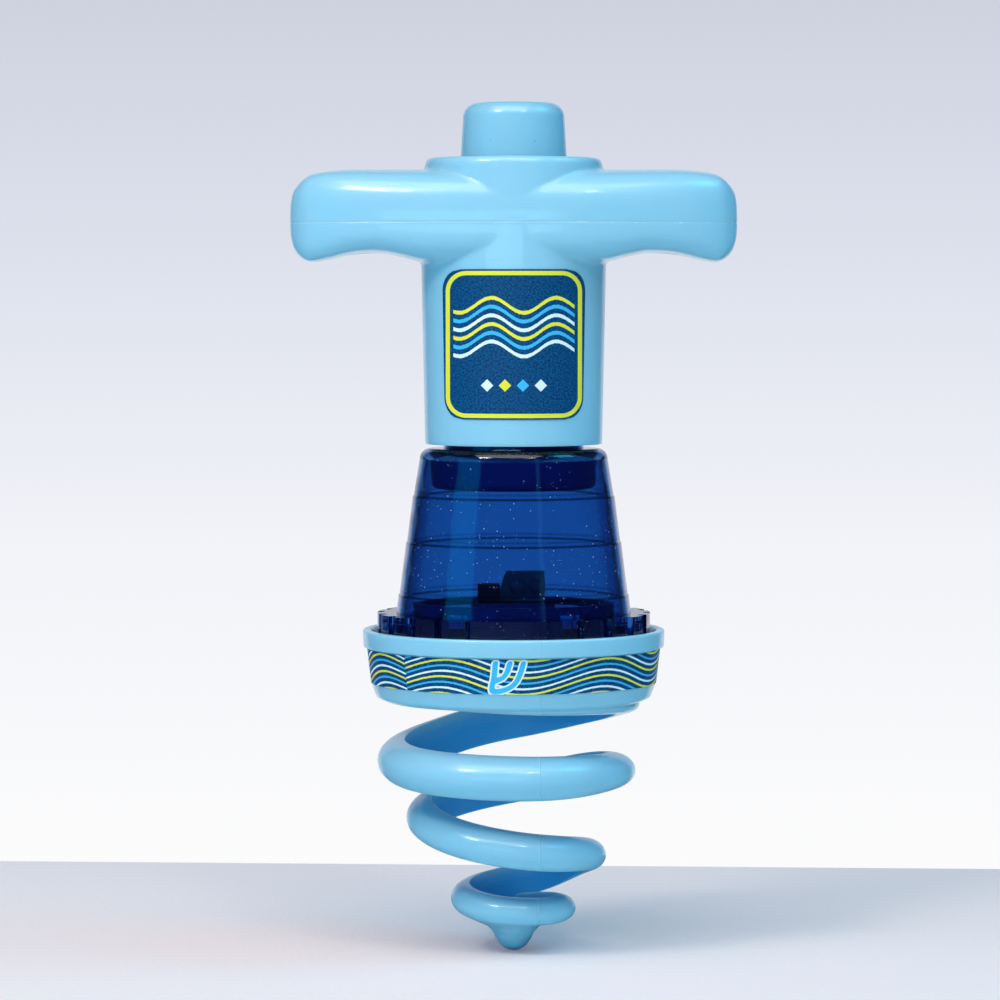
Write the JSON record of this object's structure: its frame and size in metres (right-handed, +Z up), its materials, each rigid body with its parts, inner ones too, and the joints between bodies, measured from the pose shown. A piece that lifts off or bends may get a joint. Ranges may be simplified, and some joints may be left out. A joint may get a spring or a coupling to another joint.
{
  "type": "bouncing dreidel with launcher",
  "caption": "Spinning top with a see-through dome, a ring cup on a conical bounce spiral, and a T-handled wind-up launcher with a thumb button.",
  "frame": {"origin": "lowest point of the tip, on the spin axis", "axes": "+Z up the spin axis to the thumb button, +X along the launcher's handle, -Y the front with the stem label"},
  "size_m": [0.0914, 0.062, 0.174],
  "materials": {
    "light_blue_plastic": "moulded, soft gloss",
    "dome_blue": "translucent moulded plastic, high gloss",
    "label_print": "printed film, satin",
    "navy_plastic": "moulded, satin",
    "white_acetal": "moulded, satin",
    "amber_acetal": "moulded, satin",
    "steel": "zinc plated",
    "spring_steel": "bright wire",
    "contact_brass": "bright strip",
    "cell_steel": "nickel plated",
    "board_green": "solder mask",
    "lamp_lens": "clear epoxy",
    "black_plastic": "moulded"
  },
  "bodies": {
    "foot": {"spring_tip": "light_blue_plastic"},
    "dreidel": {"ring_cup": "light_blue_plastic", "bounce_spiral": "light_blue_plastic", "band_label": "label_print", "dome": "dome_blue", "drive_well": "navy_plastic", "light_tray": "navy_plastic", "tray_screws": "steel", "battery_box": "navy_plastic", "button_cells": "cell_steel", "battery_contacts": "contact_brass", "motion_switch": "black_plastic", "circuit_board": "board_green", "leds": "lamp_lens"},
    "drive": {"spindle": "steel", "ratchet_wheel": "white_acetal", "spindle_clip": "steel", "spring_hub": "white_acetal", "main_spring": "spring_steel", "drive_chuck": "navy_plastic", "chuck_screw": "steel"},
    "launcher": {"handle_upper_shell": "light_blue_plastic", "handle_lower_shell": "light_blue_plastic", "handle_screws": "steel", "stem_label": "label_print", "partition_plate": "white_acetal", "spindle_bush": "white_acetal", "pawl_pin": "steel", "pawl_spring": "spring_steel", "button_spring": "spring_steel"},
    "button": {"push_button": "light_blue_plastic"},
    "catch": {"pawl": "amber_acetal"}
  },
  "joints": [
    {"name": "bounce", "type": "slide", "parent": "foot", "child": "dreidel", "axis": [0, 0, -1], "range_m": [0, 0.01], "stiffness_N_per_m": 700, "springref_m": -0.004, "deforming": ["bounce_spiral"]},
    {"name": "lift_off", "type": "slide", "parent": "dreidel", "child": "drive", "axis": [0, 0, 1], "range_m": [0, 0.03]},
    {"name": "handle_turn", "type": "hinge", "parent": "drive", "child": "launcher", "pos_m": [0, 0, 0.13], "axis": [0, 0, 1], "continuous": true},
    {"name": "button_press", "type": "slide", "parent": "launcher", "child": "button", "axis": [0, 0, -1], "range_m": [0, 0.004], "stiffness_N_per_m": 350, "springref_m": -0.003, "deforming": ["button_spring"]},
    {"name": "pawl_release", "type": "hinge", "parent": "launcher", "child": "catch", "pos_m": [0.0088, 0.0084, 0.1426], "axis": [0, 0, 1], "range_deg": [-10, 0]}
  ],
  "couplings": [
    {"joint": "pawl_release", "follows": "button_press", "rad_per_m": -43.6}
  ]
}
